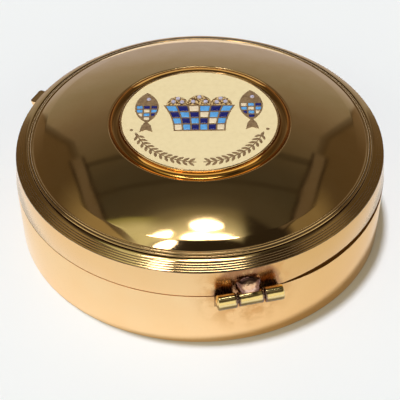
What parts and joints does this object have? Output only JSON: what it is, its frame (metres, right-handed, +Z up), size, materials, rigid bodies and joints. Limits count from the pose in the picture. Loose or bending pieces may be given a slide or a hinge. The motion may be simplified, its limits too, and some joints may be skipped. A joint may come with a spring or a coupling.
{
  "type": "hinged pyx",
  "caption": "Round hinged host box in gilded brass: straight wall, convex lid with stepped rim, enamelled medallion, outside hinge and thumb tab.",
  "frame": {"origin": "centre of the underside of the base, on the surface it stands on", "axes": "+Z up along the box's axis; -Y is the side from which the medallion's picture stands upright, +X to that viewer's right; the hinge is at compass angle -77 degrees from +X and the thumb tab at 155 degrees"},
  "size_m": [0.08, 0.0836, 0.0259],
  "materials": {
    "gilt_wall": "gilded, fine turning marks",
    "gilt_inside": "gilded, satin",
    "gilt_hinge": "gilded, polished",
    "heat_tinted_gilt": "gilded, heat-tinted by soldering",
    "gilt_polished": "gilded, mirror polish",
    "cream_enamel": "glossy enamel",
    "light_blue_enamel": "glossy enamel",
    "navy_enamel": "glossy enamel",
    "figure_metal": "darkened gilt lines",
    "loaf_metal": "grained gilt relief",
    "crystal": "cut and polished"
  },
  "bodies": {
    "base": {"base_wall": "gilt_wall", "base_floor": "gilt_inside", "base_sleeve": "gilt_inside", "base_knuckle_left": "gilt_hinge", "base_knuckle_right": "gilt_hinge", "hinge_pin": "gilt_hinge"},
    "lid": {"basket_cream_enamel": "cream_enamel", "basket_frame": "figure_metal", "basket_light_blue_enamel": "light_blue_enamel", "basket_navy_enamel": "navy_enamel", "bead_wire": "gilt_polished", "corn_garland": "figure_metal", "enamel_field": "cream_enamel", "end_dots": "figure_metal", "fish_cream_enamel": "cream_enamel", "fish_eyes": "crystal", "fish_left": "figure_metal", "fish_light_blue_enamel": "light_blue_enamel", "fish_navy_enamel": "navy_enamel", "fish_right": "figure_metal", "lid_band": "gilt_wall", "lid_dome": "gilt_polished", "lid_knuckle": "gilt_hinge", "lid_leaf": "heat_tinted_gilt", "loaf_crystals": "crystal", "loaves": "loaf_metal", "medallion_bezel": "gilt_polished", "medallion_plate": "gilt_inside", "medallion_seat": "gilt_polished", "rim_moulding": "gilt_polished", "thumb_tab": "gilt_polished"}
  },
  "joints": [
    {"name": "lid_hinge", "type": "hinge", "parent": "base", "child": "lid", "pos_m": [0.00939, -0.04068, 0.014], "axis": [0.9744, 0.225, 0], "range_deg": [0, 180]}
  ]
}
